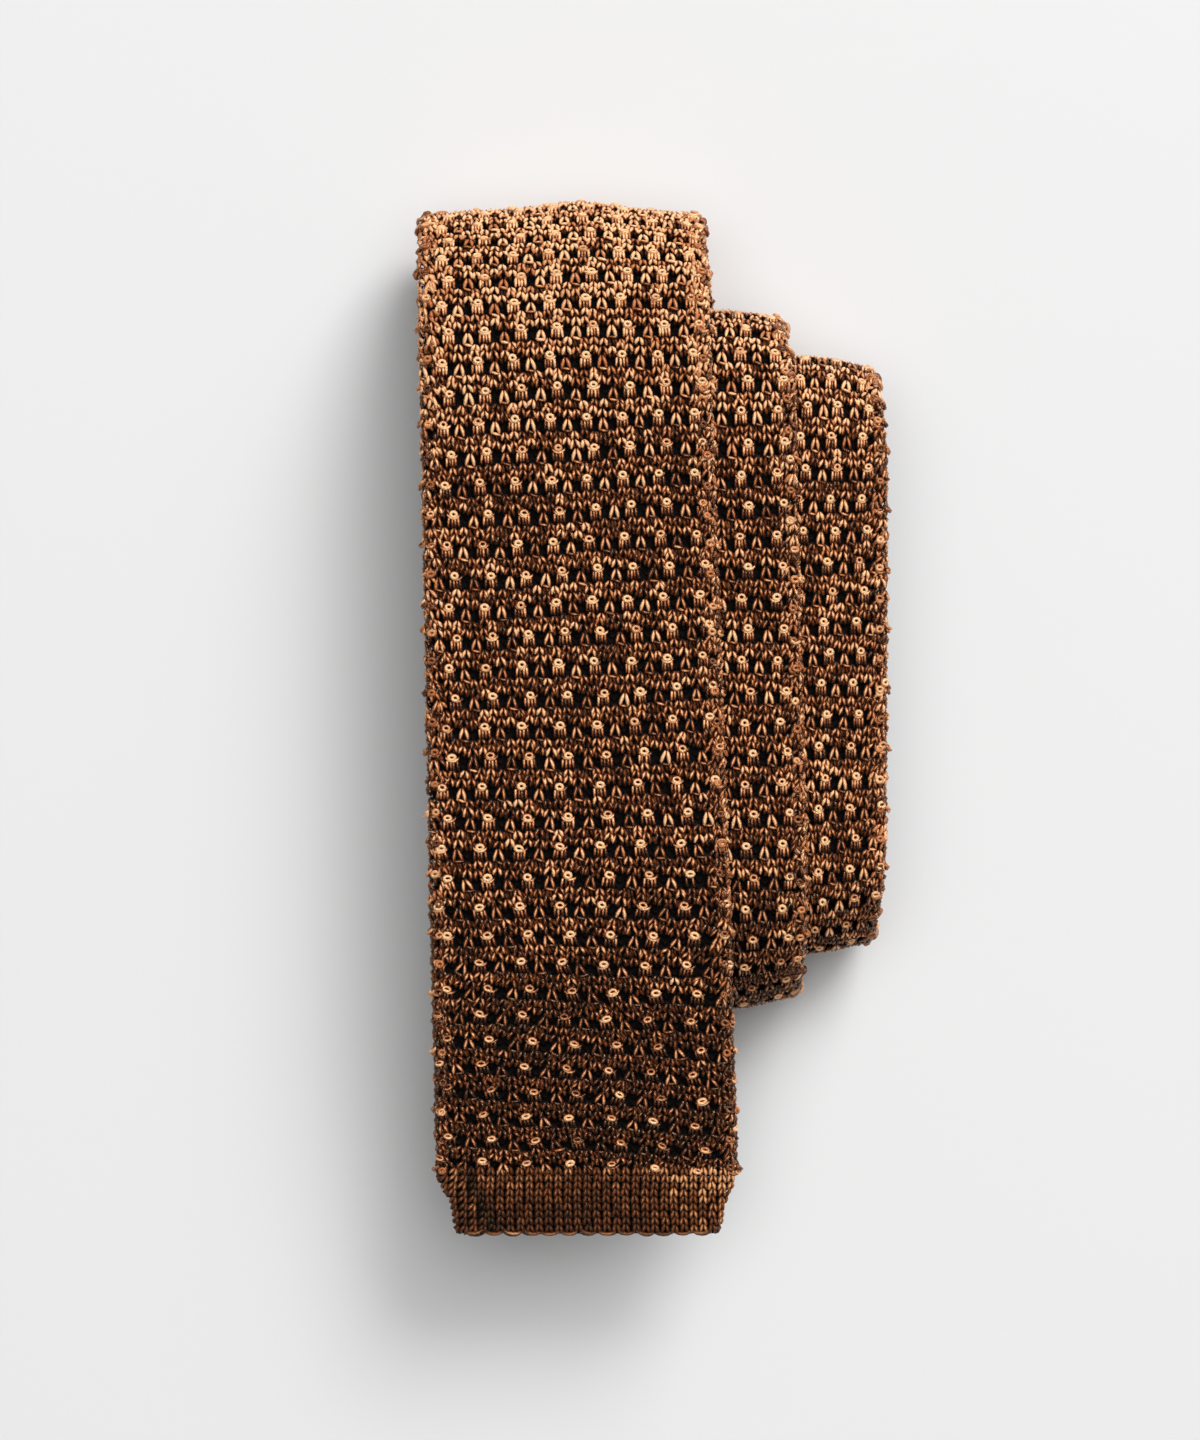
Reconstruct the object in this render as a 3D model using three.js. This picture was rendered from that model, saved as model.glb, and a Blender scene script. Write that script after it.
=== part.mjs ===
// Knitted silk necktie, pressed flat and folded up, lying on a surface with its blade on top.
// Millimetres, +Z up. +Y runs from the blade's end to the first fold, +X to the side the folds spread to.
// The origin is the middle of the underside of the whole bundle's box.
import * as THREE from 'three';

// Cloth: a knitted tube pressed flat, so its two plies lie on each other.
const cloth_thickness = 2.8;
const edge_radius = 1.35;
const layer_gap = 0.65;
const piece_gap = 0.3;

// Plan sizes of the folded bundle.
const bundle_length = 167.4;
const blade_overhang = 45.5;
const blade_width = 60;
const end_band_length = 11.8;
const tail_band_length = 10.5;

// How high the blade's end hovers over the surface, and how far the tail stops short of the last fold.
const end_clearance = 25;
const tail_clearance = 6.2;

// Folds in order from the blade's end. side: 1 at the top of the view, -1 at the bottom.
// inset: how far the fold stops short of the outermost fold of its side, a share of bundle_length.
// across: middle of the fold off the blade's own middle line. width: its width.
// corner: how far its corners are drawn in. pinch: how much narrower each edge is than on the run beside it.
// These four are shares of blade_width. waist: height of the fold's outermost line over its lower layer.
// shoulder: length of its upper curve. heel: length of its lower curve. These are shares of its rise.
const folds = [
  { side: 1, inset: 0, across: 0, width: 0.975, corner: 0.02, pinch: 0, waist: 0.45, shoulder: 1.1, heel: 0.72 },
  { side: -1, inset: 0, across: 0.355, width: 0.955, corner: 0.065, pinch: 0.02, waist: 0.27, shoulder: 1.09, heel: 0.26 },
  { side: 1, inset: 0.122, across: 0.325, width: 0.895, corner: 0.035, pinch: 0.02, waist: 0.3, shoulder: 0.91, heel: 0.33 },
  { side: -1, inset: 0.072, across: 0.68, width: 0.82, corner: 0.055, pinch: 0.025, waist: 0.35, shoulder: 0.83, heel: 0.34 },
  { side: 1, inset: 0.182, across: 0.745, width: 0.7, corner: 0.055, pinch: 0.025, waist: 0.4, shoulder: 0.965, heel: 0.385 },
  { side: -1, inset: 0.124, across: 0.5, width: 0.62, corner: 0.05, pinch: 0.02, waist: 0.45, shoulder: 0.82, heel: 0.4 },
  { side: 1, inset: 0.234, across: 0.46, width: 0.57, corner: 0.05, pinch: 0.02, waist: 0.5, shoulder: 0.88, heel: 0.4 },
  { side: -1, inset: 0.167, across: 0.33, width: 0.57, corner: 0.05, pinch: 0.02, waist: 0.5, shoulder: 0.48, heel: 0.4 },
  { side: 1, inset: 0.275, across: 0.26, width: 0.6, corner: 0.05, pinch: 0.02, waist: 0.5, shoulder: 0.72, heel: 0.4 },
  { side: -1, inset: 0.204, across: 0.26, width: 0.66, corner: 0.05, pinch: 0.02, waist: 0.5, shoulder: 0.5, heel: 0.5 },
];

// Middle line and width of the two ends, shares of blade_width.
const blade_end = { across: 0.09, width: 1.038 };
const band_root = { across: 0.085, width: 1 };
const band_tip = { across: 0.092, width: 0.905 };
const tail_end = { across: 0.2, width: 0.74 };
const tail_band_tip = { across: 0.2, width: 0.68 };

// The swelling in the middle of the first fold, and how far along the cloth a fold's form reaches.
const crown_height = 1.6;
const crown_spread = 0.17 * blade_width;
const crown_across = 0.065 * blade_width;
const fold_reach = 0.2 * blade_width;

// Layers in which the neck and the tail begin.
const neck_layer = 6;
const tail_layer = 9;

// How finely the cloth is divided.
const quarter_steps = 6;
const run_step = 22;
const sag_step = 8;
const flat_points = 5;
const edge_points = 3;

const layer_count = folds.length + 1;
const layer_pitch = cloth_thickness + layer_gap;
const blade_tip_line = -bundle_length / 2 - blade_overhang;

function mix(a, b, share) {
  return a + (b - a) * share;
}

function smooth(share) {
  const s = Math.min(1, Math.max(0, share));
  return s * s * (3 - 2 * s);
}

// Height of the middle of a layer, counted from the blade, 1 to layer_count.
function layer_height(layer) {
  const level = layer % 2 === 1 ? layer_count - (layer + 1) / 2 : layer / 2 - 1;
  return cloth_thickness / 2 + level * layer_pitch;
}

// A fold's farthest y, on the cloth's middle line.
function fold_line(number) {
  const fold = folds[number - 1];
  return fold.side * (bundle_length * (0.5 - fold.inset) - cloth_thickness / 2);
}

// A fold's rise and the height of its outermost line.
function fold_levels(number) {
  const upper = Math.max(layer_height(number), layer_height(number + 1));
  const lower = Math.min(layer_height(number), layer_height(number + 1));
  const rise = upper - lower;
  return { upper, lower, rise, waist: lower + folds[number - 1].waist * rise };
}

// A fold's points from its upper layer to its lower one: a quarter of an ellipse above its waist, another below.
function fold_curve(number) {
  const fold = folds[number - 1];
  const { upper, lower, rise, waist } = fold_levels(number);
  const points = [];
  for (let i = 0; i <= 2 * quarter_steps; i += 1) {
    const turn = (Math.PI / 2) * (i / quarter_steps);
    const above = i <= quarter_steps;
    const reach = (above ? fold.shoulder : fold.heel) * rise;
    const height = above ? upper - waist : waist - lower;
    points.push({
      y: fold_line(number) - fold.side * reach * (1 - Math.sin(turn)),
      z: waist + height * Math.cos(turn),
    });
  }
  return points;
}

// The blade falls from the bundle's top to its hovering end, starting over the second fold's shoulder.
const sag_run = blade_overhang + folds[1].shoulder * fold_levels(2).rise;
const blade_sag = layer_height(1) - cloth_thickness / 2 - end_clearance;
const sag_line = blade_tip_line + sag_run;

function blade_height(y) {
  return layer_height(1) - blade_sag * smooth((sag_line - y) / sag_run);
}

// The tail's own cloth and its band end under the last fold of the top side.
const tail_tip_line = fold_line(folds.length - 1) - tail_clearance;
const tail_line = tail_tip_line - tail_band_length;

// Middle line and width of a layer at y, between the folds at its two ends.
function layer_plan(layer, y) {
  const first = layer === 1;
  const last = layer === layer_count;
  const from = first ? blade_end : folds[layer - 2];
  const to = last ? tail_end : folds[layer - 1];
  const start = first ? blade_tip_line + end_band_length : fold_line(layer - 1);
  const end = last ? tail_line : fold_line(layer);
  const share = (y - start) / (end - start);
  return {
    across: blade_width * mix(from.across, to.across, share),
    width: blade_width * mix(from.width, to.width, share),
  };
}

// Points of a straight run, its far end left to what follows.
function run_points(layer, from, to, step, height_at) {
  const count = Math.max(1, Math.round(Math.abs(to - from) / step));
  const points = [];
  for (let i = 0; i < count; i += 1) {
    const y = mix(from, to, i / count);
    points.push({ layer, y, z: height_at(y) });
  }
  return points;
}

// The tie's middle line from the blade's end to the tail's end.
function tie_line() {
  const points = run_points(1, blade_tip_line, sag_line, sag_step, blade_height);
  let from = sag_line;
  for (let number = 1; number <= folds.length; number += 1) {
    const downward = number % 2 === 1;
    const curve = downward ? fold_curve(number) : fold_curve(number).reverse();
    const height = layer_height(number);
    points.push(...run_points(number, from, curve[0].y, run_step, () => height));
    const last = curve.pop();
    curve.forEach((p, i) => points.push({ layer: i < quarter_steps ? number : number + 1, ...p }));
    from = last.y;
  }
  const height = layer_height(layer_count);
  points.push(...run_points(layer_count, from, tail_tip_line, run_step, () => height));
  points.push({ layer: layer_count, y: tail_tip_line, z: height });
  return points;
}

// Stations: the middle line's points with their distance along it and the direction it takes there.
function measured(points) {
  let along = 0;
  return points.map((p, i) => {
    const before = points[Math.max(0, i - 1)];
    const after = points[Math.min(points.length - 1, i + 1)];
    along += Math.hypot(p.y - before.y, p.z - before.z);
    const length = Math.hypot(after.y - before.y, after.z - before.z);
    return { ...p, along, step_y: (after.y - before.y) / length, step_z: (after.z - before.z) / length };
  });
}

const stations = measured(tie_line());
const tie_length = stations[stations.length - 1].along;

// A station at any distance along the tie.
function station_at(along) {
  const next = stations.findIndex((s) => s.along >= along);
  const b = stations[next];
  const a = stations[Math.max(0, next - 1)];
  const share = b.along > a.along ? (along - a.along) / (b.along - a.along) : 0;
  return {
    layer: b.layer,
    along,
    y: mix(a.y, b.y, share),
    z: mix(a.z, b.z, share),
    step_y: mix(a.step_y, b.step_y, share),
    step_z: mix(a.step_z, b.step_z, share),
  };
}

// The pressed tube's section, flat above and below with round edges: points of side and height.
function section_points(half_width) {
  const flat = half_width - edge_radius;
  const half_height = cloth_thickness / 2;
  const points = [];
  for (let i = 0; i < flat_points; i += 1) {
    points.push([mix(-flat, flat, i / (flat_points - 1)), half_height]);
  }
  for (let i = 1; i <= edge_points; i += 1) {
    const turn = (Math.PI * i) / (edge_points + 1);
    points.push([flat + edge_radius * Math.sin(turn), half_height * Math.cos(turn)]);
  }
  return points.concat(points.map(([side, height]) => [-side, -height]));
}

// Which of the two folds of a station's layer is nearer, and its pull: 1 on its line, falling to 0 away from it.
function nearest_fold(station) {
  const pull_of = (number) => Math.exp(-(((station.y - fold_line(number)) / fold_reach) ** 2));
  const own = [station.layer - 1, station.layer].filter((n) => n >= 1 && n <= folds.length);
  const number = own.reduce((best, n) => (pull_of(n) > pull_of(best) ? n : best));
  return { number, pull: pull_of(number) };
}

// One ring of points round the cloth at a station.
function ring(station, plan) {
  const { number, pull } = nearest_fold(station);
  const fold = folds[number - 1];
  const half = plan.width / 2 + fold.pinch * blade_width * (1 - pull);
  return section_points(half).map(([side, height]) => {
    const inward = fold.corner * blade_width * Math.abs(side / half) ** 3;
    const crown = number === 1 ? crown_height * Math.exp(-(((side - crown_across) / crown_spread) ** 2)) : 0;
    const y = station.y - height * station.step_z + fold.side * pull * (crown - inward);
    return new THREE.Vector3(plan.across + side, y, station.z + height * station.step_y);
  });
}

// Triangles that close one end of a body, seen along the cloth's own path.
function cap(points, step) {
  const contour = points.map((p) => new THREE.Vector2(p.x, p.z * step.step_y - p.y * step.step_z));
  return THREE.ShapeUtils.triangulateShape(contour, []);
}

// A closed body through a list of stations, a ring of points at each.
function loft(path, plan_of) {
  const rings = path.map((s) => ring(s, plan_of(s)));
  const count = rings[0].length;
  const last = (rings.length - 1) * count;
  const indices = [];
  for (let start = 0; start < last; start += count) {
    for (let i = 0; i < count; i += 1) {
      const a = start + i;
      const b = start + ((i + 1) % count);
      indices.push(a, b, a + count, b, b + count, a + count);
    }
  }
  cap(rings[0], path[0]).forEach(([a, b, c]) => indices.push(a, b, c));
  cap(rings[rings.length - 1], path[path.length - 1]).forEach(([a, b, c]) => {
    indices.push(last + c, last + b, last + a);
  });
  const geometry = new THREE.BufferGeometry().setFromPoints(rings.flat());
  geometry.setIndex(indices);
  geometry.computeVertexNormals();
  return geometry;
}

// The part of the tie between two distances along it.
function stretch(from, to, plan_of) {
  const clear = piece_gap;
  const inner = stations.filter((s) => s.along > from + clear && s.along < to - clear);
  return loft([station_at(from), ...inner, station_at(to)], plan_of);
}

// Distance along the tie of the middle of a layer's flat run.
function middle_of(layer) {
  const own = stations.filter((s) => s.layer === layer && s.z === layer_height(layer));
  return (own[0].along + own[own.length - 1].along) / 2;
}

// The plan of an end band, tapering between two widths.
function taper(from, to, start, end) {
  return (station) => {
    const share = (station.along - start) / (end - start);
    return {
      across: blade_width * mix(from.across, to.across, share),
      width: blade_width * mix(from.width, to.width, share),
    };
  };
}

const own_plan = (station) => layer_plan(station.layer, station.y);
const neck_start = middle_of(neck_layer);
const tail_start = middle_of(tail_layer);
const tail_end_start = tie_length - tail_band_length;
const pieces = [
  { name: 'blade_end_band', from: 0, to: end_band_length, plan: taper(band_tip, band_root, 0, end_band_length) },
  { name: 'blade', from: end_band_length + piece_gap, to: neck_start, plan: own_plan },
  { name: 'neck', from: neck_start + piece_gap, to: tail_start, plan: own_plan },
  { name: 'tail', from: tail_start + piece_gap, to: tail_end_start, plan: own_plan },
  {
    name: 'tail_end_band',
    from: tail_end_start + piece_gap,
    to: tie_length,
    plan: taper(tail_end, tail_band_tip, tail_end_start, tie_length),
  },
];

const silk = { color: 0x8a5530, roughness: 0.55, metalness: 0 };
const tie = new THREE.Group();
pieces.forEach(({ name, from, to, plan }) => {
  const mesh = new THREE.Mesh(stretch(from, to, plan), new THREE.MeshStandardMaterial(silk));
  mesh.name = name;
  tie.add(mesh);
});

// The bundle's box is centred on the origin, with its underside on the surface.
const box = new THREE.Box3().setFromObject(tie);
tie.position.set(-(box.min.x + box.max.x) / 2, -(box.min.y + box.max.y) / 2, -box.min.z);

export default tie;
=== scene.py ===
# Looks of the folded knit tie: yarn on the visible layers, cloth under it, floor, light and camera.
# Lengths are millimetres in the tables and in the cloth's own measures; meshes are made in metres.
import math

import bpy
import numpy as np
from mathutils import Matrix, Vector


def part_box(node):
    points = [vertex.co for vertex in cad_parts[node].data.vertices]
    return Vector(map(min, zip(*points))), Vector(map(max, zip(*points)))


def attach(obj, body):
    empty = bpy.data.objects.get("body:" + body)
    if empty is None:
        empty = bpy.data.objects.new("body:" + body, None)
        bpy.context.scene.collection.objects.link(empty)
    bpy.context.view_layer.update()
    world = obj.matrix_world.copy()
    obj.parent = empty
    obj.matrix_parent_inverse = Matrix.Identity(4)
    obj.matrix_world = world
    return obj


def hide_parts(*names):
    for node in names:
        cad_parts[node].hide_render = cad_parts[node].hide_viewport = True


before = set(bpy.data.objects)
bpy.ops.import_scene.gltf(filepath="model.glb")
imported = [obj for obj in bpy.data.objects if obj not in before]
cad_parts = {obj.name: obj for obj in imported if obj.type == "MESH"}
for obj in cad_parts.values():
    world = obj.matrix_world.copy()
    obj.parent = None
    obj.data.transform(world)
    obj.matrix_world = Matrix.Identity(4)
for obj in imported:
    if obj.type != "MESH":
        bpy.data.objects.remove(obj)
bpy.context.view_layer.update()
rng = np.random.default_rng(7)

# The cloth's form, as in the CAD source.
CLOTH_THICKNESS = 2.8
EDGE_RADIUS = 1.35
LAYER_GAP = 0.65
PIECE_GAP = 0.3
BUNDLE_LENGTH = 167.4
BLADE_OVERHANG = 45.5
BLADE_WIDTH = 60.0
END_BAND_LENGTH = 11.8
TAIL_BAND_LENGTH = 10.5
END_CLEARANCE = 25.0
TAIL_CLEARANCE = 6.2
CROWN_HEIGHT = 1.6
CROWN_SPREAD = 0.17 * BLADE_WIDTH
CROWN_ACROSS = 0.065 * BLADE_WIDTH
FOLD_REACH = 0.2 * BLADE_WIDTH
NECK_LAYER = 6
TAIL_LAYER = 9

# Height of the knit's own level over the cloth's middle.
KNIT_LEVEL = 1.0

# Folds in order from the blade's end, with the CAD source's columns.
COLUMNS = ("side", "inset", "across", "width", "corner", "pinch", "waist", "shoulder", "heel")
FOLD_ROWS = (
    (1, 0, 0, 0.975, 0.02, 0, 0.45, 1.1, 0.72),
    (-1, 0, 0.355, 0.955, 0.065, 0.02, 0.27, 1.09, 0.26),
    (1, 0.122, 0.325, 0.895, 0.035, 0.02, 0.3, 0.91, 0.33),
    (-1, 0.072, 0.68, 0.82, 0.055, 0.025, 0.35, 0.83, 0.34),
    (1, 0.182, 0.745, 0.7, 0.055, 0.025, 0.4, 0.965, 0.385),
    (-1, 0.124, 0.5, 0.62, 0.05, 0.02, 0.45, 0.82, 0.4),
    (1, 0.234, 0.46, 0.57, 0.05, 0.02, 0.5, 0.88, 0.4),
    (-1, 0.167, 0.33, 0.57, 0.05, 0.02, 0.5, 0.48, 0.4),
    (1, 0.275, 0.26, 0.6, 0.05, 0.02, 0.5, 0.72, 0.4),
    (-1, 0.204, 0.26, 0.66, 0.05, 0.02, 0.5, 0.5, 0.5),
)
FOLDS = [dict(zip(COLUMNS, row)) for row in FOLD_ROWS]
BLADE_END = {"across": 0.09, "width": 1.038}
BAND_ROOT = {"across": 0.085, "width": 1.0}
BAND_TIP = {"across": 0.092, "width": 0.905}
TAIL_END = {"across": 0.2, "width": 0.74}
TAIL_BAND_TIP = {"across": 0.2, "width": 0.68}

HALF_CLOTH = CLOTH_THICKNESS / 2
LAYERS = len(FOLDS) + 1
QUARTER_STEPS = 20
RUN_STEP = 4.0
BLADE_TIP_LINE = -BUNDLE_LENGTH / 2 - BLADE_OVERHANG


def mix(a, b, share):
    return a + (b - a) * share


def smooth(share):
    s = np.clip(share, 0, 1)
    return s * s * (3 - 2 * s)


def layer_height(layer):
    level = LAYERS - (layer + 1) // 2 if layer % 2 else layer // 2 - 1
    return HALF_CLOTH + level * (CLOTH_THICKNESS + LAYER_GAP)


def fold_line(number):
    fold = FOLDS[number - 1]
    return fold["side"] * (BUNDLE_LENGTH * (0.5 - fold["inset"]) - HALF_CLOTH)


def fold_levels(number):
    upper = max(layer_height(number), layer_height(number + 1))
    lower = min(layer_height(number), layer_height(number + 1))
    rise = upper - lower
    return upper, lower, rise, lower + FOLDS[number - 1]["waist"] * rise


def fold_curve(number):
    """(layer, y, z) of a fold's middle line, in the order of the tie."""
    fold = FOLDS[number - 1]
    upper, lower, rise, waist = fold_levels(number)
    points = []
    for i in range(2 * QUARTER_STEPS + 1):
        turn = math.pi / 2 * i / QUARTER_STEPS
        above = i <= QUARTER_STEPS
        reach = rise * (fold["shoulder"] if above else fold["heel"])
        height = upper - waist if above else waist - lower
        y = fold_line(number) - fold["side"] * reach * (1 - math.sin(turn))
        points.append((y, waist + height * math.cos(turn)))
    if number % 2 == 0:
        points.reverse()
    return [(number + (i >= QUARTER_STEPS), y, z) for i, (y, z) in enumerate(points)]


SAG_RUN = BLADE_OVERHANG + FOLDS[1]["shoulder"] * fold_levels(2)[2]
BLADE_SAG = layer_height(1) - HALF_CLOTH - END_CLEARANCE
SAG_LINE = BLADE_TIP_LINE + SAG_RUN
TAIL_TIP_LINE = fold_line(len(FOLDS) - 1) - TAIL_CLEARANCE
TAIL_LINE = TAIL_TIP_LINE - TAIL_BAND_LENGTH


def run_points(layer, start, end):
    """(layer, y, z) of a flat run; the first layer's run sags to the blade's end."""
    count = max(2, round(abs(end - start) / RUN_STEP))
    points = []
    for i in range(count):
        y = mix(start, end, i / count)
        z = layer_height(layer)
        if layer == 1:
            z -= BLADE_SAG * float(smooth((SAG_LINE - y) / SAG_RUN))
        points.append((layer, y, z))
    return points


def tie_line():
    """The tie's middle line as arrays: distance along, place, direction, plan and fold forms."""
    points = run_points(1, BLADE_TIP_LINE, BLADE_TIP_LINE + END_BAND_LENGTH)
    start = BLADE_TIP_LINE + END_BAND_LENGTH
    for number in range(1, len(FOLDS) + 1):
        curve = fold_curve(number)
        points += run_points(number, start, curve[0][1])
        points += curve[:-1]
        start = curve[-1][1]
    points += run_points(LAYERS, start, TAIL_LINE)
    points += run_points(LAYERS, TAIL_LINE, TAIL_TIP_LINE)
    points.append((LAYERS, TAIL_TIP_LINE, layer_height(LAYERS)))
    layer, y, z = (np.array(column, float) for column in zip(*points))
    along = np.concatenate([[0], np.cumsum(np.hypot(np.diff(y), np.diff(z)))])
    step_y, step_z = np.gradient(y, along), np.gradient(z, along)
    size = np.hypot(step_y, step_z)
    line = {"along": along, "layer": layer, "y": y, "z": z, "step_y": step_y / size, "step_z": step_z / size}
    plans = [station_plan(int(n), v) for n, v in zip(layer, y)]
    for i, name in enumerate(("across", "half", "pull", "corner", "crown")):
        line[name] = np.array([plan[i] for plan in plans])
    return line


def station_plan(layer, y):
    """Middle line, half width, signed pull, corner and crown of the cloth at one place."""
    own = [n for n in (layer - 1, layer) if 1 <= n <= len(FOLDS)]
    number = min(own, key=lambda n: abs(y - fold_line(n)))
    fold = FOLDS[number - 1]
    pull = math.exp(-(((y - fold_line(number)) / FOLD_REACH) ** 2))
    if layer == 1 and y < BLADE_TIP_LINE + END_BAND_LENGTH - 1e-6:
        first, last = BAND_TIP, BAND_ROOT
        start, end = BLADE_TIP_LINE, BLADE_TIP_LINE + END_BAND_LENGTH
    elif layer == LAYERS and y > TAIL_LINE + 1e-6:
        first, last = TAIL_END, TAIL_BAND_TIP
        start, end = TAIL_LINE, TAIL_TIP_LINE
    else:
        first = BLADE_END if layer == 1 else FOLDS[layer - 2]
        last = TAIL_END if layer == LAYERS else FOLDS[layer - 1]
        start = BLADE_TIP_LINE + END_BAND_LENGTH if layer == 1 else fold_line(layer - 1)
        end = TAIL_LINE if layer == LAYERS else fold_line(layer)
    share = (y - start) / (end - start)
    across = BLADE_WIDTH * mix(first["across"], last["across"], share)
    half = BLADE_WIDTH * (mix(first["width"], last["width"], share) / 2 + fold["pinch"] * (1 - pull))
    crown = CROWN_HEIGHT if number == 1 else 0
    return across, half, fold["side"] * pull, fold["corner"] * BLADE_WIDTH, crown


LINE = tie_line()
TIE_LENGTH = float(LINE["along"][-1])
band_low, band_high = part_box("blade_end_band")
SHIFT_X = (band_low.x + band_high.x) / 2 * 1000 - BLADE_WIDTH * BAND_ROOT["across"]
SHIFT_Y = band_low.y * 1000 - BLADE_TIP_LINE


def at(name, along):
    return np.interp(along, LINE["along"], LINE[name])


def place(along, out, up):
    """Points in millimetres, out from the cloth's middle line and up from its middle layer."""
    crown = at("crown", along) * np.exp(-(((out - CROWN_ACROSS) / CROWN_SPREAD) ** 2))
    inward = at("corner", along) * np.abs(out / at("half", along)) ** 3
    x = at("across", along) + out + SHIFT_X
    y = at("y", along) - up * at("step_z", along) + at("pull", along) * (crown - inward) + SHIFT_Y
    z = at("z", along) + up * at("step_y", along)
    return np.stack([x, y, z], axis=-1)


def on_cloth(along, side, height):
    """Points on the cloth's outer face; side past its flat part runs round its edge."""
    flat = at("half", along) - EDGE_RADIUS
    turn = np.maximum(np.abs(side) - flat, 0) / EDGE_RADIUS
    out = np.sign(side) * (np.minimum(np.abs(side), flat) + height * np.sin(turn))
    return place(along, out, height * np.cos(turn))


def along_at(layer, y):
    """Distance along the tie of a y of the row's frame on a layer's run."""
    own = LINE["layer"] == layer
    ys, alongs = LINE["y"][own] + SHIFT_Y, LINE["along"][own]
    order = np.argsort(ys)
    return float(np.interp(y, ys[order], alongs[order]))


# How far yarn stands out from the cloth's middle, and how close to the floor it may come.
YARN_REACH = 1.95
FLOOR_CLEARANCE = 0.02

# Yarn strands. Columns: u across, v along, w above the knit's own level, and the yarn's radius.
LEG = np.array([
    (-0.62, -0.12, -0.40, 0.26),
    (-0.65, 0.28, 0.28, 0.38),
    (-0.48, 0.88, 0.42, 0.43),
    (-0.27, 1.42, 0.16, 0.36),
    (-0.15, 1.68, -0.40, 0.24),
])
TALL_LEG = np.array([
    (-0.66, -0.12, -0.20, 0.30),
    (-0.72, 0.45, 0.32, 0.38),
    (-0.58, 1.20, 0.50, 0.42),
    (-0.38, 1.90, 0.46, 0.40),
    (-0.24, 2.50, 0.22, 0.34),
    (-0.16, 2.75, -0.35, 0.24),
])
FOOT = np.array([
    (-0.85, 0.45, -0.05, 0.28),
    (-0.35, 0.16, 0.26, 0.37),
    (0.30, 0.00, 0.30, 0.38),
    (0.95, -0.12, 0.12, 0.33),
    (1.20, -0.02, -0.25, 0.22),
])
CUP = np.array([
    (-1.26, 1.05, -0.05, 0.26),
    (-1.02, 0.50, 0.34, 0.34),
    (-0.56, 0.14, 0.52, 0.37),
    (0.05, 0.00, 0.56, 0.38),
    (0.60, 0.14, 0.52, 0.37),
    (1.04, 0.52, 0.34, 0.34),
    (1.26, 1.00, -0.05, 0.26),
])
BARREL_STRAND = np.array([
    (0, 0.10, 0.46, 0.29),
    (0, -0.70, 0.42, 0.33),
    (0, -1.50, 0.22, 0.32),
    (0, -2.20, -0.30, 0.26),
])
DOME_STRAND = np.array([
    (-0.15, 0.05, 0.12, 0.24),
    (-0.05, -0.55, 0.10, 0.27),
    (0.10, -1.15, -0.06, 0.27),
    (0.20, -1.75, -0.42, 0.22),
])
RING_POINTS = 9
RING_RADII = (0.64, 0.56)
RING_YARN = 0.37
# Height of a ring's middle over the knit's level, and how much its far side is lower.
RING_HEIGHT = 0.62
RING_DIP = 0.10


def ring_path():
    turn = np.linspace(0, 2 * math.pi, RING_POINTS, endpoint=False)
    u, v = RING_RADII[0] * np.cos(turn), RING_RADII[1] * np.sin(turn)
    w = RING_HEIGHT - RING_DIP * np.sin(turn)
    return np.stack([u, v, w, np.full_like(u, RING_YARN)], axis=-1)


# The only path that closes on itself.
RING = ring_path()

STRAND_SIDES = 4
STRAND_TURNS = np.linspace(0, 2 * math.pi, STRAND_SIDES, endpoint=False) + math.pi / 2
# A short way off the cloth, to find which way is outward.
OUTWARD_STEP = 0.2
# How far the pattern of a strand's plies may be shifted along it.
PLY_SHIFT = 4


def tube_points(centre, outward, radius, closed):
    """Points round tubes along their middle lines, the first of each ring facing outward."""
    if closed:
        ahead = np.roll(centre, -1, axis=1) - np.roll(centre, 1, axis=1)
    else:
        ahead = np.gradient(centre, axis=1)
    ahead /= np.linalg.norm(ahead, axis=-1, keepdims=True)
    across = np.cross(ahead, outward)
    across /= np.maximum(np.linalg.norm(across, axis=-1, keepdims=True), 1e-6)
    up = np.cross(across, ahead)
    cosine, sine = np.cos(STRAND_TURNS)[:, None], np.sin(STRAND_TURNS)[:, None]
    ring = cosine * across[:, :, None, :] + sine * up[:, :, None, :]
    points = centre[:, :, None, :] + radius[None, :, None, None] * ring
    points[..., 2] = np.maximum(points[..., 2], FLOOR_CLEARANCE)
    return points


def tube_faces(count, length, sides, closed):
    """Quads and end caps of a number of tubes, each of length rings with the same number of sides."""
    span = length if closed else length - 1
    i, j = np.meshgrid(np.arange(span), np.arange(sides), indexing="ij")
    i, j = i.ravel(), j.ravel()
    here, there = i * sides, ((i + 1) % length) * sides
    beside = (j + 1) % sides
    quads = np.stack([here + j, here + beside, there + beside, there + j], axis=-1)
    starts = (np.arange(count) * length * sides)[:, None, None]
    quads = (quads[None] + starts).reshape(-1, 4)
    if closed:
        return quads, np.zeros((0, sides), int)
    first = np.arange(sides)[::-1]
    last = (length - 1) * sides + np.arange(sides)
    return quads, (np.stack([first, last])[None] + starts).reshape(-1, sides)


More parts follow.
